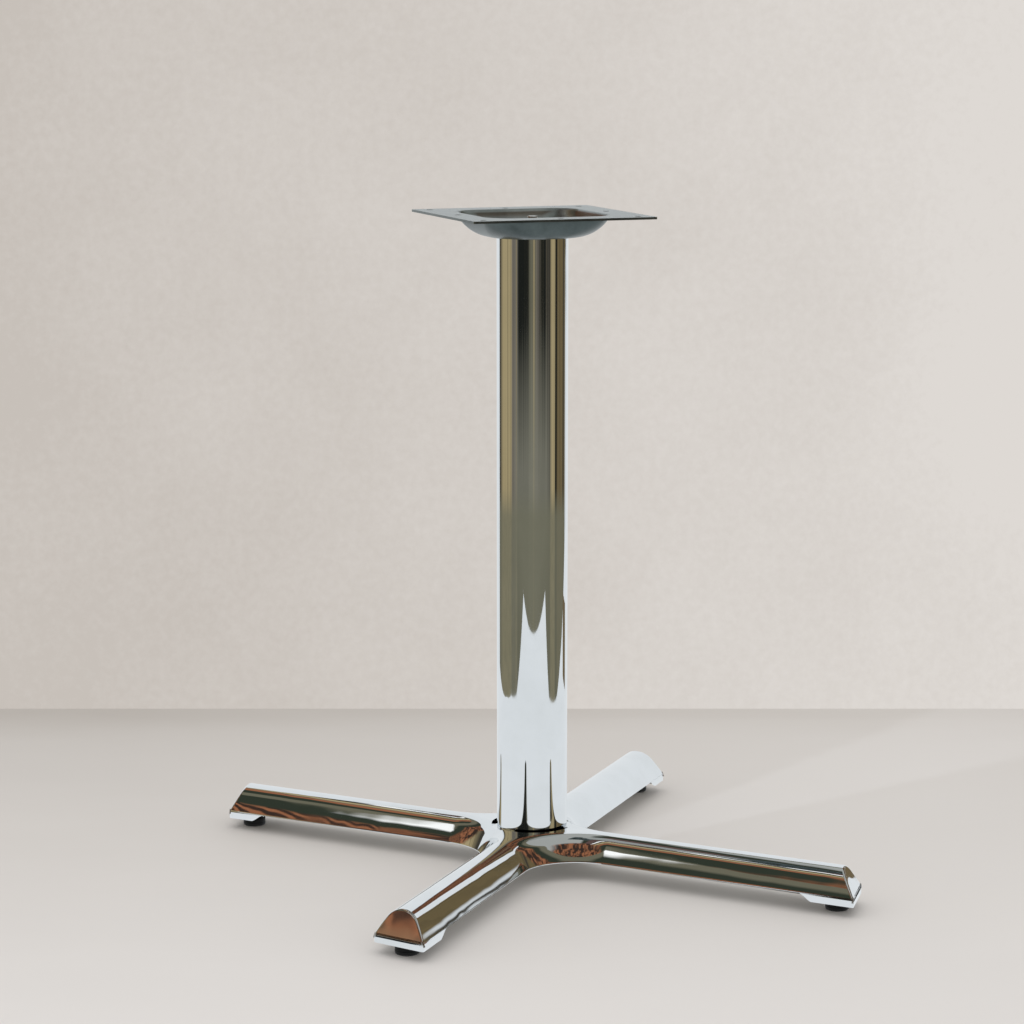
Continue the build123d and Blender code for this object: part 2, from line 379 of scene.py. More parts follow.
def spin_section(section, steps):
    """A solid of revolution about Z from a closed section of (radius, height) points."""
    shape = bmesh.new()
    ring = [shape.verts.new((radius, 0, height)) for radius, height in section]
    pairs = zip(ring, ring[1:] + ring[:1])
    sides = [shape.edges.new(pair) for pair in pairs if pair[0].co.x > 0 or pair[1].co.x > 0]
    bmesh.ops.spin(
        shape,
        geom=ring + sides,
        cent=(0, 0, 0),
        axis=(0, 0, 1),
        angle=2 * math.pi,
        steps=steps,
        use_merge=True,
    )
    bmesh.ops.remove_doubles(shape, verts=shape.verts, dist=MERGE_DISTANCE)
    bmesh.ops.recalc_face_normals(shape, faces=shape.faces)
    return shape


def soften(shape, width, segments):
    """Round every sharp edge."""
    sharp = [e for e in shape.edges if e.is_manifold and e.calc_face_angle() > SHARP_ANGLE]
    bmesh.ops.bevel(
        shape,
        geom=sharp,
        offset=width,
        offset_type="OFFSET",
        affect="EDGES",
        segments=segments,
        profile=0.5,
        material=-1,
        clamp_overlap=True,
    )


def mesh_from(shape, name):
    mesh = bpy.data.meshes.new(name)
    shape.to_mesh(mesh)
    shape.free()
    return mesh


def add_piece(name, mesh, finish, body, stands_for=()):
    """Put a finished mesh into the scene on the body it rides on, and hide the solids it stands
    for.
    """
    if not mesh.materials:
        mesh.materials.append(finish)
    mesh.shade_smooth()
    mesh.set_sharp_from_angle(angle=SHARP_ANGLE)
    piece = bpy.data.objects.new(name, mesh)
    scene.collection.objects.link(piece)
    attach(piece, body)
    if stands_for:
        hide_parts(*stands_for)
    PIECES[name] = len(mesh.polygons)
    return piece


def even_normals(piece):
    """Let large flat faces keep their own normals, so that a mirror stays flat up to its edge."""
    weigh = piece.modifiers.new("even_normals", "WEIGHTED_NORMAL")
    weigh.mode = "FACE_AREA"
    weigh.keep_sharp = True


print("piece helpers ready")

# %% [markdown]
# The column is drawn tube, polished and plated. It stands in the foot's recess and ends under
# the plate. As a mirror it shows every facet, so it is spun in many steps from one section of
# its wall, with the ends' edges broken, instead of keeping the coarser solid.

# %% Column
TUBE_RADIUS = 38.1 * MM
TUBE_WALL = 1.5 * MM
SEAT_HEIGHT = 43.8 * MM
DISH_UNDERSIDE = 686.1 * MM

tube_shape = spin_section(
    [
        (TUBE_RADIUS - TUBE_WALL, SEAT_HEIGHT),
        (TUBE_RADIUS, SEAT_HEIGHT),
        (TUBE_RADIUS, DISH_UNDERSIDE),
        (TUBE_RADIUS - TUBE_WALL, DISH_UNDERSIDE),
    ],
    160,
)
soften(tube_shape, 0.4 * MM, 3)
tube_mesh = mesh_from(tube_shape, "column")
column = add_piece("column", tube_mesh, tube_chrome, "base", ["column_tube"])
even_normals(column)
print("column", PIECES["column"], "faces")

# %% [markdown]
# The cross foot is one sheet of steel, pressed into four legs that run together in the hub.
# Every section across a leg is the same: an upright skirt, a soft fold, a sloping flank and a
# round crest. So the shape is grown from its outline. Arcs spun between the legs close it, and
# each inset takes the outline further in and up along that section, which keeps clean rows of
# faces that a mirror needs.

# %% Outline of the foot
LEG_ANGLE = math.radians(40.4)
LEG_HALF = 30 * MM
TOE_REACH = 371.5 * MM
LEG_END = TOE_REACH + 3 * LEG_HALF
TOE_EDGE = 12.2 * MM
ARC_STEPS = 28
LEG_BEARINGS = (LEG_ANGLE, math.pi - LEG_ANGLE, math.pi + LEG_ANGLE, 2 * math.pi - LEG_ANGLE)
NARROW_GAP = (LEG_ANGLE, 57 * MM)
WIDE_GAP = (math.pi / 2 - LEG_ANGLE, 75 * MM)


def toward(bearing, distance=1.0, height=0.0):
    """A point at a bearing and distance from the column's axis."""
    return Vector((distance * math.cos(bearing), distance * math.sin(bearing), height))


def hollow_arc(shape, middle, half_angle, radius):
    """The rounded hollow between two legs: its first and last vertex."""
    centre = toward(middle, (LEG_HALF + radius) / math.sin(half_angle), TOE_EDGE)
    first = shape.verts.new(centre + toward(middle - half_angle - math.pi / 2, radius))
    made = bmesh.ops.spin(
        shape,
        geom=[first],
        cent=centre,
        axis=(0, 0, 1),
        angle=2 * half_angle - math.pi,
        steps=ARC_STEPS,
    )
    return first, [v for v in made["geom_last"] if isinstance(v, bmesh.types.BMVert)][0]


def cross_outline():
    """One flat face with the outline of the four legs, well past the toes."""
    shape = bmesh.new()
    gaps = [NARROW_GAP, WIDE_GAP, NARROW_GAP, WIDE_GAP]
    arcs = [hollow_arc(shape, turn * math.pi / 2, *gap) for turn, gap in enumerate(gaps)]
    for index, bearing in enumerate(LEG_BEARINGS):
        across = toward(bearing + math.pi / 2, LEG_HALF)
        end = toward(bearing, LEG_END, TOE_EDGE)
        corners = [shape.verts.new(end - across), shape.verts.new(end + across)]
        chain = [arcs[index][1], *corners, arcs[(index + 1) % 4][0]]
        for pair in zip(chain, chain[1:]):
            shape.edges.new(pair)
    bmesh.ops.contextual_create(shape, geom=shape.edges[:])
    return shape


foot_shape = cross_outline()
print("outline", len(foot_shape.verts), "points", len(foot_shape.faces), "face")

# %% Section of a leg
SKIRT_TOP = 20.2 * MM
CREST = 46.8 * MM
DRAFT = math.radians(33)
FOLD_RADIUS = 7 * MM
CREST_RADIUS = 22.33 * MM
CREST_FLAT = 1.2 * MM
FLANK_CROWN = 0.3 * MM
FOLD_STEPS = 6
FLANK_STEPS = 6
CREST_STEPS = 16


def leg_section():
    """Points (how far in, height) from the skirt up to the crest."""
    fold_low = SKIRT_TOP - FOLD_RADIUS * math.tan(DRAFT / 2)
    points = [(0, fold_low)]
    for step in range(1, FOLD_STEPS + 1):
        angle = DRAFT * step / FOLD_STEPS
        inward = FOLD_RADIUS * (1 - math.cos(angle))
        points.append((inward, fold_low + FOLD_RADIUS * math.sin(angle)))
    crest_arc = []
    for step in range(CREST_STEPS + 1):
        angle = DRAFT + (math.pi / 2 - DRAFT) * step / CREST_STEPS
        inward = LEG_HALF - CREST_FLAT / 2 - CREST_RADIUS * math.cos(angle)
        crest_arc.append((inward, CREST - CREST_RADIUS * (1 - math.sin(angle))))
    low, high = points[-1], crest_arc[0]
    for step in range(1, FLANK_STEPS):
        share = step / FLANK_STEPS
        crown = FLANK_CROWN * 4 * share * (1 - share)
        inward = low[0] + (high[0] - low[0]) * share - crown * math.cos(DRAFT)
        points.append((inward, low[1] + (high[1] - low[1]) * share + crown * math.sin(DRAFT)))
    return points + crest_arc


def grow_legs(shape):
    """Raise the outline to the fold, then inset it along the section up to the flat crest."""
    section = leg_section()
    top = shape.faces[:][0]
    if top.normal.z < 0:
        top.normal_flip()
    raised = bmesh.ops.extrude_face_region(shape, geom=[top])["geom"]
    corners = [v for v in raised if isinstance(v, bmesh.types.BMVert)]
    bmesh.ops.translate(shape, verts=corners, vec=(0, 0, section[0][1] - TOE_EDGE))
    top = [f for f in raised if isinstance(f, bmesh.types.BMFace)][0]
    for low, high in zip(section, section[1:]):
        bmesh.ops.inset_region(
            shape,
            faces=[top],
            thickness=high[0] - low[0],
            depth=high[1] - low[1],
            use_boundary=True,
            use_even_offset=True,
        )


foot_shape.faces.ensure_lookup_table()
grow_legs(foot_shape)
crest_height = max(vertex.co.z for vertex in foot_shape.verts)
print("legs", len(foot_shape.faces), "faces, crest at", round(crest_height / MM, 2), "mm")

# %% [markdown]
# Each toe is closed by two planes, a sloping face above the fold and an upright strip below it.
# Both face a little away from the leg's own direction. Bisecting does the cut, a face fills it,
# and a bevel gives the bright rounded rim that the press leaves.

# %% Toes
TOE_SLOPE = math.tan(math.radians(29.5))
TOE_TURN = math.tan(math.radians(16))
TOE_RIM = 2.2 * MM
RIM_ANGLE = math.radians(20)


def cut_off(shape, point, facing):
    """Cut away all that lies beyond a plane and close the cut with one face."""
    geometry = shape.verts[:] + shape.edges[:] + shape.faces[:]
    cut = bmesh.ops.bisect_plane(
        shape, geom=geometry, dist=0.000001, plane_co=point, plane_no=facing, clear_outer=True
    )
    loop = [e for e in cut["geom_cut"] if isinstance(e, bmesh.types.BMEdge)]
    return bmesh.ops.contextual_create(shape, geom=loop)["faces"]


def cut_toe(shape, bearing):
    """Cut one leg at its toe, whose end faces turn away from the X axis."""
    along = toward(bearing)
    side_x, side_y = math.copysign(1, along.x), math.copysign(1, along.y)
    aside = Vector((side_x * abs(along.y), -side_y * abs(along.x), 0))
    facing = along - aside * TOE_TURN
    rise = CREST - SKIRT_TOP
    cut_off(shape, along * TOE_REACH + Vector((0, 0, CREST)), facing + Vector((0, 0, TOE_SLOPE)))
    cut_off(shape, along * (TOE_REACH + rise * TOE_SLOPE) + Vector((0, 0, SKIRT_TOP)), facing)


def round_toes(shape):
    """Bevel the rims of the toes' end faces, and the fold between the two planes of each."""
    bmesh.ops.recalc_face_normals(shape, faces=shape.faces)
    rims = []
    for edge in shape.edges:
        middle = (edge.verts[0].co + edge.verts[1].co) / 2
        outer = middle.xy.length > TOE_REACH - 2 * LEG_HALF
        lifted = max(v.co.z for v in edge.verts) > TOE_EDGE + 0.1 * MM
        if outer and lifted and edge.calc_face_angle() > RIM_ANGLE:
            rims.append(edge)
    bmesh.ops.bevel(
        shape,
        geom=rims,
        offset=TOE_RIM,
        offset_type="OFFSET",
        affect="EDGES",
        segments=4,
        profile=0.5,
        material=-1,
        clamp_overlap=False,
    )


for bearing in LEG_BEARINGS:
    cut_toe(foot_shape, bearing)
round_toes(foot_shape)
print("foot with toes", len(foot_shape.faces), "faces")

# %% [markdown]
# What is left is cut with solids, as a machinist would: the recess that the column stands in,
# and the lower edge, which is lifted between the toes and steps down behind each of them. Then
# the bottom is opened, the recess's floor gets its hole for the tie rod, and a Solidify
# modifier gives the sheet its thickness towards the inside. The inside takes a second finish,
# because plating hardly reaches it.

# %% Cutters for the foot
RECESS_RADIUS = 44 * MM
STEP_START = TOE_REACH - 38.5 * MM
STEP_LENGTH = 18 * MM
STEP_COUNT = 12


def cutter(name, section, steps):
    """A spun solid that is only used to cut with."""
    tool = bpy.data.objects.new(name, mesh_from(spin_section(section, steps), name))
    scene.collection.objects.link(tool)
    return tool


def step_section():
    """Section of the disc that lifts the skirt's edge, with a smooth step down to the toes."""
    points = [(0, 0), (STEP_START + STEP_LENGTH, 0)]
    for step in range(STEP_COUNT + 1):
        share = 1 - step / STEP_COUNT
        smooth = share * share * (3 - 2 * share)
        up = SKIRT_TOP + (TOE_EDGE - MM / 2 - SKIRT_TOP) * smooth
        points.append((STEP_START + STEP_LENGTH * share, up))
    return points + [(0, SKIRT_TOP)]


above = CREST + 10 * MM
recess_section = [
    (0, SEAT_HEIGHT),
    (RECESS_RADIUS, SEAT_HEIGHT),
    (RECESS_RADIUS, above),
    (0, above),
]
tools = [cutter("recess_tool", recess_section, 128), cutter("step_tool", step_section(), 256)]
print("cutters", [tool.name for tool in tools])

# %% Cuts and wall of the foot
FOOT_WALL = 2.5 * MM
ROD_HOLE = 6.5 * MM


def settled(piece):
    """The piece's mesh with its modifiers applied."""
    graph = bpy.context.evaluated_depsgraph_get()
    graph.update()
    return bpy.data.meshes.new_from_object(piece.evaluated_get(graph), depsgraph=graph)


def open_foot(mesh):
    """Take the bottom away and pierce the recess's floor."""
    shape = bmesh.new()
    shape.from_mesh(mesh)
    bottom = [face for face in shape.faces if face.normal.z < -0.4]
    bmesh.ops.delete(shape, geom=bottom, context="FACES")
    level = [face for face in shape.faces if face.normal.z > 0.999]
    seat = [face for face in level if abs(face.calc_center_median().z - SEAT_HEIGHT) < 0.1 * MM]
    if len(seat) > 1:
        seat = bmesh.ops.dissolve_faces(shape, faces=seat)["region"]
    ledge = RECESS_RADIUS - ROD_HOLE
    bmesh.ops.inset_region(shape, faces=seat[:1], thickness=ledge, use_even_offset=True)
    bmesh.ops.delete(shape, geom=seat[:1], context="FACES")
    return mesh_from(shape, "pressed_foot")


rough_foot = bpy.data.objects.new("rough_foot", mesh_from(foot_shape, "rough_foot"))
scene.collection.objects.link(rough_foot)
for tool in tools:
    cut = rough_foot.modifiers.new("cut", "BOOLEAN")
    cut.operation = "DIFFERENCE"
    cut.solver = "MANIFOLD"
    cut.object = tool
foot_mesh = open_foot(settled(rough_foot))
for spent in (rough_foot, *tools):
    bpy.data.objects.remove(spent)
foot_mesh.materials.clear()
foot_mesh.materials.append(foot_chrome)
foot_mesh.materials.append(foot_inside)
pressed_foot = add_piece(
    "pressed_foot", foot_mesh, foot_chrome, "base", ["cross_foot"]
)
wall = pressed_foot.modifiers.new("wall", "SOLIDIFY")
wall.thickness = FOOT_WALL
wall.offset = -1
wall.use_even_offset = False
wall.material_offset = 1
even_normals(pressed_foot)
print("pressed foot", PIECES["pressed_foot"], "faces", [m.name for m in foot_mesh.materials])

# %% [markdown]
# The tie rod and the glides' studs are threaded, which the solids leave out. A thread is one
# tooth of its section spun up the axis: each turn starts where the one below ends, so merging
# the doubles makes one winding surface, which two planes then cut to length. Only the rod's
# ends show, so its middle is plain.

# %% Screw threads
ROD_RADIUS = 6 * MM
ROD_PITCH = 1.75 * MM
ROD_BOTTOM = 16.8 * MM
ROD_TOP = 708.1 * MM
THREAD_RUN = 18 * MM
TOOTH_DEPTH = 0.58
TOOTH_CREST = (0.42, 0.56)
END_CHAMFER = 0.9


def screw_thread(radius, pitch, bottom, top, steps):
    """A closed thread between two heights, with its ends' edges turned down."""
    shape = bmesh.new()
    root = radius - TOOTH_DEPTH * pitch
    start = bottom - pitch
    low, high = TOOTH_CREST
    tooth = [(root, 0), (radius, low * pitch), (radius, high * pitch), (root, pitch)]
    points = [shape.verts.new((across, 0, start + up)) for across, up in tooth]
    sides = [shape.edges.new(pair) for pair in zip(points, points[1:])]
    turns = math.ceil((top - start) / pitch) + 1
    bmesh.ops.spin(
        shape,
        geom=points + sides,
        cent=(0, 0, 0),
        axis=(0, 0, 1),
        dvec=(0, 0, pitch / steps),
        angle=2 * math.pi * turns,
        steps=steps * turns,
    )
    bmesh.ops.remove_doubles(shape, verts=shape.verts, dist=MERGE_DISTANCE)
    cut_off(shape, Vector((0, 0, bottom)), Vector((0, 0, -1)))
    cut_off(shape, Vector((0, 0, top)), Vector((0, 0, 1)))
    for vertex in shape.verts:
        to_end = min(vertex.co.z - bottom, top - vertex.co.z)
        widest = root + to_end * END_CHAMFER
        if vertex.co.xy.length > widest:
            vertex.co.xy *= widest / vertex.co.xy.length
    bmesh.ops.recalc_face_normals(shape, faces=shape.faces)
    return shape


def joined(name, shapes):
    """Several shapes as one mesh."""
    whole = bmesh.new()
    for shape in shapes:
        part = mesh_from(shape, "part")
        whole.from_mesh(part)
        bpy.data.meshes.remove(part)
    return mesh_from(whole, name)


plain_low, plain_high = ROD_BOTTOM + THREAD_RUN, ROD_TOP - THREAD_RUN
plain_section = [
    (0, plain_low),
    (ROD_RADIUS, plain_low),
    (ROD_RADIUS, plain_high),
    (0, plain_high),
]
rod_shapes = [
    screw_thread(ROD_RADIUS, ROD_PITCH, ROD_BOTTOM, plain_low + MM, 32),
    spin_section(plain_section, 32),
    screw_thread(ROD_RADIUS, ROD_PITCH, plain_high - MM, ROD_TOP, 32),
]
rod_mesh = joined("threaded_rod", rod_shapes)
add_piece("threaded_rod", rod_mesh, zinc, "base", ["tie_rod"])
print("threaded rod", PIECES["threaded_rod"], "faces")

# %% [markdown]
# Each glide is a black moulded foot on a threaded stud, screwed into the toe. The foot has a
# rounded heel, a parting groove round its side, a neck that stops against the bracket, and a
# hollow sole, so that it stands on a ring. Stud and foot ride on the glide's own body, which
# the joint lets down by 10 mm.

# %% Levelling glides
GLIDE_OUT = 363.6 * MM
STUD_RADIUS = 4 * MM
STUD_PITCH = 1.25 * MM
STUD_BOTTOM = 4.7 * MM
STUD_TOP = 33.5 * MM
LEG_PLACES = dict(zip(("back_right", "back_left", "front_left", "front_right"), LEG_BEARINGS))


def arc_points(across, up, radius, first, last, steps):
    """Points of a round in a section, between two angles in degrees."""
    turns = [math.radians(first + (last - first) * step / steps) for step in range(steps + 1)]
    return [(across + radius * math.cos(turn), up + radius * math.sin(turn)) for turn in turns]


def pad_section():
    """Section of the moulded foot, here in millimetres, from its sole to the stud's socket."""
    points = [(0, 0.9), (7.6, 0.9)]
    points += arc_points(8.6, 0.6, 0.6, 180, 270, 3) + arc_points(10.5, 2, 2, -90, 0, 6)
    points += [(12.5, 3.9), (12.15, 4.2), (12.15, 4.6), (12.5, 4.9)]
    points += arc_points(11.3, 7.8, 1.2, 0, 90, 5) + arc_points(8.3, 9.8, 0.8, 270, 180, 4)
    points += arc_points(6.9, 12.1, 0.6, 0, 90, 3) + [(4.1, 12.7), (4.1, 4.7), (0, 4.7)]
    return [(across * MM, up * MM) for across, up in points]


def add_glide_piece(kind, leg, shape, finish):
    """Set a pad or a stud under its leg, on the glide's own body."""
    bmesh.ops.translate(shape, verts=shape.verts, vec=toward(LEG_PLACES[leg], GLIDE_OUT))
    name = kind + "_" + leg
    add_piece(name, mesh_from(shape, name), finish, "glide_" + leg, ["glide_" + name])


for leg in LEG_PLACES:
    add_glide_piece("pad", leg, spin_section(pad_section(), 64), pad_plastic)
    stud_shape = screw_thread(STUD_RADIUS, STUD_PITCH, STUD_BOTTOM, STUD_TOP, 24)
    add_glide_piece("stud", leg, stud_shape, zinc)
print("glides: pad", PIECES["pad_back_right"], "faces, stud", PIECES["stud_back_right"], "faces")

# %% [markdown]
# Under the foot the brackets and the hub plate are welded in. A hand weld is a row of small
# overlapping scallops, each a drop that froze on the one before, so a flattened ball is set
# down again and again.

# %% Weld beads
BEAD = 1.3 * MM
BEAD_STEP = 2.1 * MM
BRACKET_SIDE = 27.3 * MM
BRACKET_LOW = 13.7 * MM
HUB_PLATE_RADIUS = 38 * MM
HUB_PLATE_TOP = 40.6 * MM
HUB_BEAD = BEAD * 1.5
HUB_BEAD_TURN = 0.062


def scallop(shape, place, bearing, size):
    """One flattened drop, longer along the weld's direction."""
    stretch = Matrix.Diagonal((1.35, 1.0, 0.8, 1.0))
    matrix = Matrix.Translation(place) @ Matrix.Rotation(bearing, 4, "Z") @ stretch
    bmesh.ops.create_uvsphere(shape, u_segments=10, v_segments=6, radius=size, matrix=matrix)


weld_shape = bmesh.new()
for bearing in LEG_BEARINGS:
    for side in (-1, 1):
        for count in range(-5, 6):
            place = toward(bearing, GLIDE_OUT + count * BEAD_STEP, BRACKET_LOW)
            place += toward(bearing + side * math.pi / 2, BRACKET_SIDE)
            unsteady = 1 + 0.06 * math.sin(count * 2.4 + bearing)
            scallop(weld_shape, place, bearing, BEAD * unsteady)
for quarter in range(4):
    for count in range(-6, 7):
        bearing = quarter * math.pi / 2 + count * HUB_BEAD_TURN
        place = toward(bearing, HUB_PLATE_RADIUS, HUB_PLATE_TOP)
        scallop(weld_shape, place, bearing + math.pi / 2, HUB_BEAD)
add_piece("weld_beads", mesh_from(weld_shape, "weld_beads"), bare_steel, "base")
print("weld beads", PIECES["weld_beads"], "faces")

# %% [markdown]
# A mirror shows the room, so the room has to be there. The floor and the pale wall are what the
# camera sees. Round them stand cards that only reflections see, as a photographer's flags and
# papers: a white sheet under and behind the base, and beyond it a dark olive and brown room
# with pale lights above.

# %% Studio helpers


def stage_object(name, mesh, material):
    """A mesh of the studio, turned to face the camera."""
    stage = bpy.data.objects.new(name, mesh)
    scene.collection.objects.link(stage)
    stage.matrix_world = STUDIO_TURN
    mesh.materials.append(material)
    return stage


def flat_mesh(name, corners):
    """One flat face through its corners."""
    shape = bmesh.new()
    shape.faces.new([shape.verts.new(corner) for corner in corners])
    return mesh_from(shape, name)


def card(name, corners, material):
    """A flat card, seen by reflections alone."""
    only_in_reflections(stage_object(name, flat_mesh(name, corners), material))


def only_in_reflections(thing):
    """Hide a thing of the studio from all rays but the mirrored ones."""
    thing.visible_camera = False
    thing.visible_diffuse = False
    thing.visible_transmission = False
    thing.visible_volume_scatter = False
    thing.visible_shadow = False


def glow_with(paint, colour):
    """Plain light at the end of a material."""
    shine = paint.node("ShaderNodeEmission", None, {"Color": colour, "Strength": 1.0})
    paint.node("ShaderNodeOutputMaterial", None, {"Surface": shine["Emission"]})


def glow(name, colour):
    """A glowing material of one colour, for cards."""
    material = bpy.data.materials.new(name)
    material.use_nodes = True
    glow_with(Paint(material.node_tree), colour)
    return material


print("studio helpers ready")


# %% Floor and wall
FLOOR_BACK = -0.80
FLOOR_SIDE = 9.0
# The wall's two tones are painted shade: darker to the left.
WALL_LEFT = srgb(199, 192, 185)
WALL_RIGHT = srgb(222, 217, 212)
# The floor's tones are painted shade: darker towards the back and on the left.
FLOOR_NEAR = srgb(224, 220, 217)
FLOOR_FAR_LEFT = srgb(184, 177, 170)
FLOOR_FAR_RIGHT = srgb(204, 198, 192)
ROOM_LIGHT = (0.86, 0.86, 0.86, 1)

floor_corners = [
    (FLOOR_BACK, -FLOOR_SIDE, 0),
    (FLOOR_SIDE, -FLOOR_SIDE, 0),
    (FLOOR_SIDE, FLOOR_SIDE, 0),
    (FLOOR_BACK, FLOOR_SIDE, 0),
]
floor_material, paint, place = new_finish("floor_with_painted_shade")
shade_wobble = paint.noise(paint.stretched(place, 1.2, 0.5, 1.0), 3.0, 6.0, 0.6)
axes = paint.node("ShaderNodeSeparateXYZ", None, {0: place})
# Painted shade: the floor darkens from near the base towards the back, and more on the left.
forward = (axes["X"] - FLOOR_BACK) / 2 + (shade_wobble - 0.5) * 0.15
nearness = paint.ramp(forward, [(0.0, -0.2), (0.10, 0.25), (0.45, 0.6), (0.85, 1.0)])
floor_far = paint.colour_mix(paint.rise(axes["Y"] + 0.5, 0.0, 1.0), FLOOR_FAR_LEFT, FLOOR_FAR_RIGHT)
floor_tone = paint.colour_mix(nearness, floor_far, FLOOR_NEAR)
finish_with(paint, {"Base Color": floor_tone, "Roughness": 0.8})
stage_object("floor", flat_mesh("floor", floor_corners), floor_material)

world = bpy.data.worlds.new("studio")
scene.world = world
world.use_nodes = True
paint = Paint(world.node_tree)
rays = paint.node("ShaderNodeLightPath")
seen = paint.math("MAXIMUM", rays["Is Camera Ray"], rays["Is Glossy Ray"])
seen = paint.math("MAXIMUM", seen, rays["Is Transmission Ray"])
direction = paint.node("ShaderNodeTexCoord")["Generated"]
picture_right = STUDIO_TURN.to_3x3() @ Vector((0, 1, 0))
along_picture = {0: direction, 1: picture_right}
sideways = paint.node("ShaderNodeVectorMath", {"operation": "DOT_PRODUCT"}, along_picture)["Value"]
# Painted shade: the wall is darker to the left, its edge made cloudy by the noise below.
clouds = paint.noise(direction, 9.0, 5.0, 0.6) - 0.5
grain = paint.noise(direction, 420.0, 3.0, 0.6) - 0.5
share = paint.rise(sideways * 3.3 + 0.5 + clouds * 0.9 + grain * 0.5, 0.0, 1.0)
wall_with_painted_shade = paint.colour_mix(share, WALL_LEFT, WALL_RIGHT)
sky = paint.colour_mix(seen, ROOM_LIGHT, wall_with_painted_shade)
backdrop = paint.node("ShaderNodeBackground", None, {"Color": sky, "Strength": 1.0})
paint.node("ShaderNodeOutputWorld", None, {"Surface": backdrop["Background"]})
print("floor and wall ready")

# %% Lamps
LAMP_TARGET = Vector((0, 0, 0.3))


def lamp(name, place, size, power):
    """A large soft lamp aimed at the base, which the chrome doesn't mirror."""
    data = bpy.data.lights.new(name, "AREA")
    data.shape = "RECTANGLE"
    data.size, data.size_y = size
    data.energy = power
    made = bpy.data.objects.new(name, data)
    scene.collection.objects.link(made)
    made.location = STUDIO_TURN @ Vector(place)
    aim = LAMP_TARGET - made.location
    made.rotation_euler = aim.to_track_quat("-Z", "Y").to_euler()
    made.visible_glossy = False


lamp("top_lamp", place=(0.4, -0.3, 2.6), size=(3.0, 3.0), power=14)
lamp("side_lamp", place=(1.6, -2.2, 1.6), size=(2.0, 2.0), power=7)
print("lamps ready")

# %% [markdown]
# The cards' shapes come from the column, which works as a round mirror: a bearing in the room
# shows at one place across the tube, and the floor shows lower down the nearer it is. So the
# tall pale arches at its foot give the white sheet's outline, bearing by bearing, and the
# stripes above give the room's walls. A card behind carries the sheet up, one high at the back
# lights the crests, and a small olive flag keeps the sheet out of the right toe's end.

# %% White sheet and white back
SHEET_OUTLINE = [
    (-0.74, -0.85), (0.0, -0.93), (0.30, -0.90), (0.60, -0.75), (1.52, -0.82),
    (1.42, -0.30), (1.36, 0.48), (1.30, 1.17), (0.52, 0.78), (0.05, 0.93),
    (-0.28, 1.15), (-1.60, 1.75), (-1.75, 1.35), (-0.74, 0.68),
]
BACK_PLACE = -0.74
HIGH_BACK_PLACE = -2.3
FLAG_RISE = 0.12
LIFT = 0.0006

sheet_white = glow("sheet_white", (0.80, 0.83, 0.845, 1))
flag_olive = glow("flag_olive", srgb(112, 98, 74))
back_corners = [(-0.85, LIFT), (0.68, LIFT), (0.68, 0.80), (-0.85, 0.80)]
high_corners = [(-1.3, 0.7), (1.3, 0.7), (1.3, 1.8), (-1.3, 1.8)]
flag_low = [(-0.66, 0.68, LIFT), (-0.50, 0.93, LIFT)]
flag_high = [(-0.50, 0.93, FLAG_RISE), (-0.66, 0.68, FLAG_RISE)]
card("white_sheet", [(x, y, LIFT) for x, y in SHEET_OUTLINE], sheet_white)
card("white_back", [(BACK_PLACE, y, z) for y, z in back_corners], sheet_white)
card("high_back", [(HIGH_BACK_PLACE, y, z) for y, z in high_corners], sheet_white)
card("toe_flag", flag_low + flag_high, flag_olive)
print("white sheet with", len(SHEET_OUTLINE), "corners")

# %% [markdown]
# The legs look up into the room. A flank shows the top of the left wall, a crest the strip of
# ceiling from there to the back, and a toe's end the wall beside it. So the room has three
# zones: striped walls that the column sees, a copper band above them for the toes, and a
# ceiling with bands for the crests. A window high on the left gives the flanks their highlight,
# and a paper low at the back right, crossed by a wavy dark line, gives the front leg its pale
# lower edge.

# %% Colours of the room
ROOM_RADIUS = 2.5
ROOM_HEIGHT = 2.7
OLIVE = srgb(112, 109, 92)
FLOOR_OLIVE = srgb(118, 116, 98)
HAZE = srgb(132, 130, 116)
KHAKI = srgb(174, 158, 120)
BROWN = srgb(112, 98, 70)
DARK = srgb(66, 63, 56)
BLACK = srgb(30, 32, 29)
GREY = srgb(118, 112, 102)
COPPER = srgb(158, 104, 74)
PURPLE = srgb(96, 78, 74)
GREEN = srgb(52, 58, 48)
STONE = srgb(168, 170, 166)
UMBER = srgb(58, 46, 40)
PAPER = srgb(214, 218, 220)
WINDOW_BEARING = math.radians(-71)
TOE_BEARING = math.radians(-80)
PAPER_BEARING = math.radians(138)
PALE = (1.15, 1.15, 1.12, 1)
WALL_STRIPES = [
    (-180, BROWN), (-126, DARK), (-111, KHAKI), (-73, KHAKI), (-69, GREY), (-55, GREY),
    (-53, KHAKI), (-51, GREY), (-46, BLACK), (-14, BLACK), (-9, OLIVE), (1, OLIVE),
    (4, KHAKI), (8, OLIVE), (12, GREY), (25, DARK), (28, BLACK), (40, BLACK), (46, DARK),
    (58, DARK), (62, KHAKI), (76, KHAKI), (79, BLACK), (85, BLACK), (88, BROWN),
    (114, BROWN), (118, DARK), (128, BROWN), (180, BROWN),
]
CEILING_BANDS = [
    (0.0, STONE), (0.20, STONE), (0.34, GREEN), (0.50, GREEN), (0.58, PURPLE),
    (0.88, PURPLE), (0.94, BLACK), (0.98, PALE), (1.04, PALE), (1.08, BLACK),
    (1.18, DARK), (1.24, KHAKI), (1.38, KHAKI), (1.46, PURPLE), (1.54, COPPER),
    (1.68, COPPER), (1.76, GREEN), (2.1, GREEN), (2.2, OLIVE), (2.5, OLIVE),
]
print("wall stripes", len(WALL_STRIPES), "ceiling bands", len(CEILING_BANDS))

# %% Room material


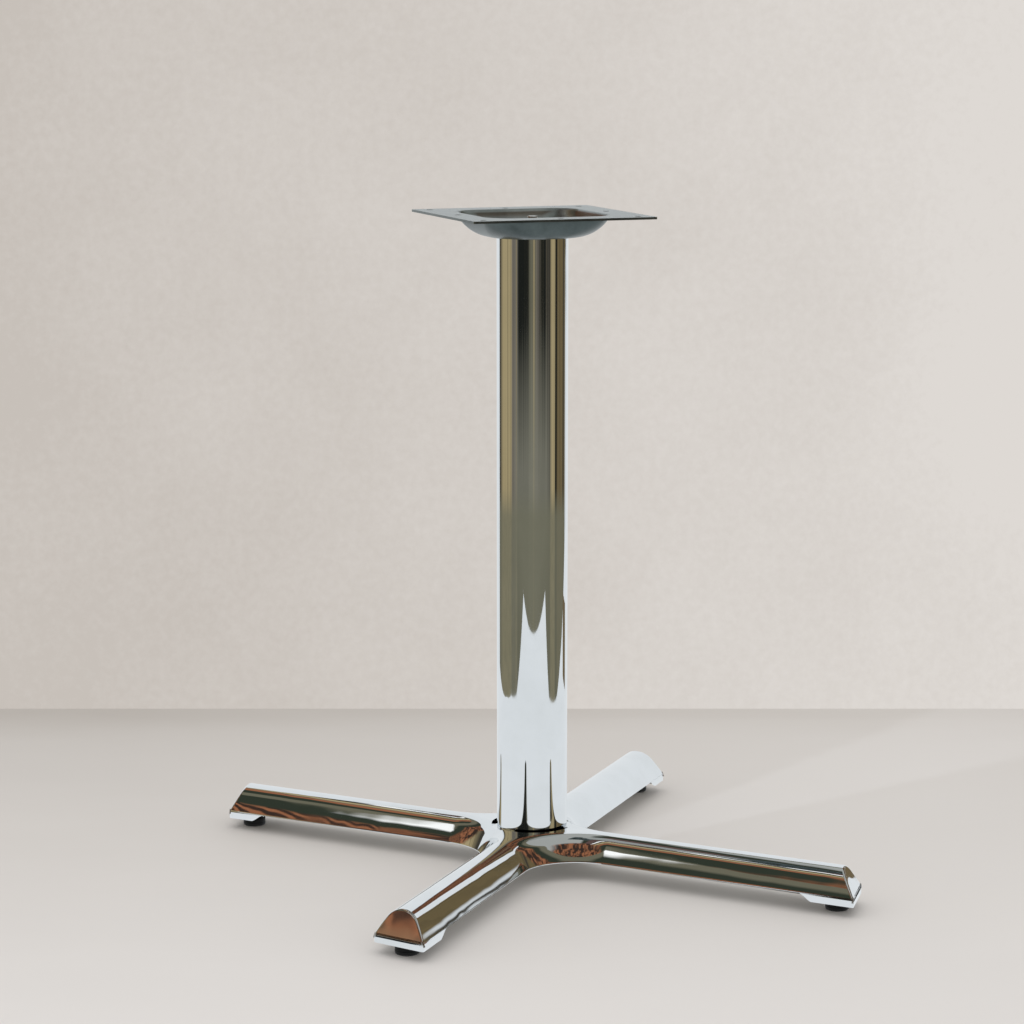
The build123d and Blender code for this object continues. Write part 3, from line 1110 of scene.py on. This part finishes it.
def room_material():
    """Glowing walls and ceiling, striped and streaked, that only reflections see."""
    material, paint, place = new_finish("room")
    axes = paint.node("ShaderNodeSeparateXYZ", None, {0: place})
    height = axes["Z"]
    forward = axes["X"] / ROOM_RADIUS
    bearing = paint.math("ARCTAN2", axes["Y"], axes["X"])
    streaks = paint.noise(paint.stretched(place, 1.6, 1.6, 0.25), 1.0, 4.0, 0.6)
    fine = paint.noise(paint.stretched(place, 7.0, 7.0, 0.15), 1.0, 3.0, 0.7)

    # Stripes by bearing, with fine dark and pale streaks, and haze low down in front.
    share = bearing / (2 * math.pi) + 0.5 + (streaks - 0.5) * 0.012
    stripes = [(degrees / 360 + 0.5, colour) for degrees, colour in WALL_STRIPES]
    walls = paint.colour_ramp(share, stripes)
    walls = paint.colour_mix(paint.ramp(fine, [(0.45, 0.0), (0.75, 0.55)]), walls, BLACK)
    walls = paint.colour_mix(paint.ramp(fine, [(0.25, 0.35), (0.42, 0.0)]), walls, KHAKI)
    haze = paint.ramp(height + (fine - 0.5) * 0.30, [(0.10, 0.75), (0.36, 0.0)])
    walls = paint.colour_mix(paint.rise(forward, 0.35, 0.70) * haze, walls, HAZE)
    above_floor = paint.ramp(height, [(0.0, 0.2), (0.05, 1.0)])
    walls = paint.colour_mix(above_floor, FLOOR_OLIVE, walls)

    # Copper with umber patches, and slanting rags of both where the front toe looks.
    patches = paint.noise(paint.stretched(place, 1.0, 1.0, 2.2), 1.3, 4.0, 0.6) * 0.4
    patches = patches + paint.noise(paint.stretched(place, 4.0, 4.0, 6.0), 1.0, 3.0, 0.6) * 0.6
    copper = paint.colour_mix(paint.rise(patches, 0.46, 0.56), UMBER, COPPER)
    slant = (bearing * ROOM_RADIUS + height * 0.8) * 75 + fine * 8
    rags = paint.math("SINE", slant) * 0.5 + 0.5
    torn = paint.colour_mix(paint.rise(rags, 0.45, 0.75), UMBER, COPPER)
    off_toe = paint.math("ABSOLUTE", bearing - TOE_BEARING)
    copper = paint.colour_mix(paint.fall(off_toe, 0.13, 0.16), copper, torn)

    # Zones up the wall.
    level = height / ROOM_HEIGHT
    walls = paint.colour_mix(paint.rise(level, 0.42, 0.48), walls, copper)
    walls = paint.colour_mix(paint.rise(level, 0.68, 0.72), walls, GREEN)
    walls = paint.colour_mix(paint.rise(level, 0.82, 0.88), walls, OLIVE)

    # The window.
    off_window = paint.math("ABSOLUTE", bearing - WINDOW_BEARING) + (fine - 0.5) * 0.06
    raised = paint.rise(level + (streaks - 0.5) * 0.08, 0.80, 0.84)
    walls = paint.colour_mix(paint.fall(off_window, 0.08, 0.14) * raised, walls, PALE)

    # The paper and its dark line.
    off_paper = paint.math("ABSOLUTE", bearing - PAPER_BEARING) + (fine - 0.5) * 0.04
    waves = paint.noise(paint.stretched(place, 2.2, 2.2, 0.8), 1.0, 3.0, 0.6)
    wavy = height + (waves - 0.5) * 0.5
    paper = paint.fall(off_paper, 0.12, 0.15) * paint.fall(wavy, 0.54, 0.60)
    line = paint.ramp(wavy, [(0.40, 0.0), (0.43, 1.0), (0.46, 1.0), (0.49, 0.0)])
    walls = paint.colour_mix(paper, walls, paint.colour_mix(line, PAPER, DARK))

    # The ceiling, banded from its middle to the left.
    warp = paint.noise(paint.stretched(place, 0.8, 0.8, 0), 1.0, 3.0, 0.6)
    leftward = (axes["Y"] * -1 + (warp - 0.5) * 0.5) / ROOM_RADIUS
    bands = [(distance / ROOM_RADIUS, colour) for distance, colour in CEILING_BANDS]
    ceiling = paint.colour_ramp(leftward, bands)
    ceiling = paint.colour_mix(paint.rise(forward, 0.45, 0.60), ceiling, copper)
    is_ceiling = paint.math("GREATER_THAN", height, ROOM_HEIGHT - 0.01)
    glow_with(paint, paint.colour_mix(is_ceiling, walls, ceiling))
    return material


room_shape = bmesh.new()
bmesh.ops.create_cone(
    room_shape,
    cap_ends=True,
    cap_tris=False,
    segments=64,
    radius1=ROOM_RADIUS,
    radius2=ROOM_RADIUS,
    depth=ROOM_HEIGHT,
)
room_middle = (0, 0, ROOM_HEIGHT / 2 + LIFT / 2)
bmesh.ops.translate(room_shape, verts=room_shape.verts, vec=room_middle)
room = stage_object("room", mesh_from(room_shape, "room"), room_material())
only_in_reflections(room)
print("cards and room ready")
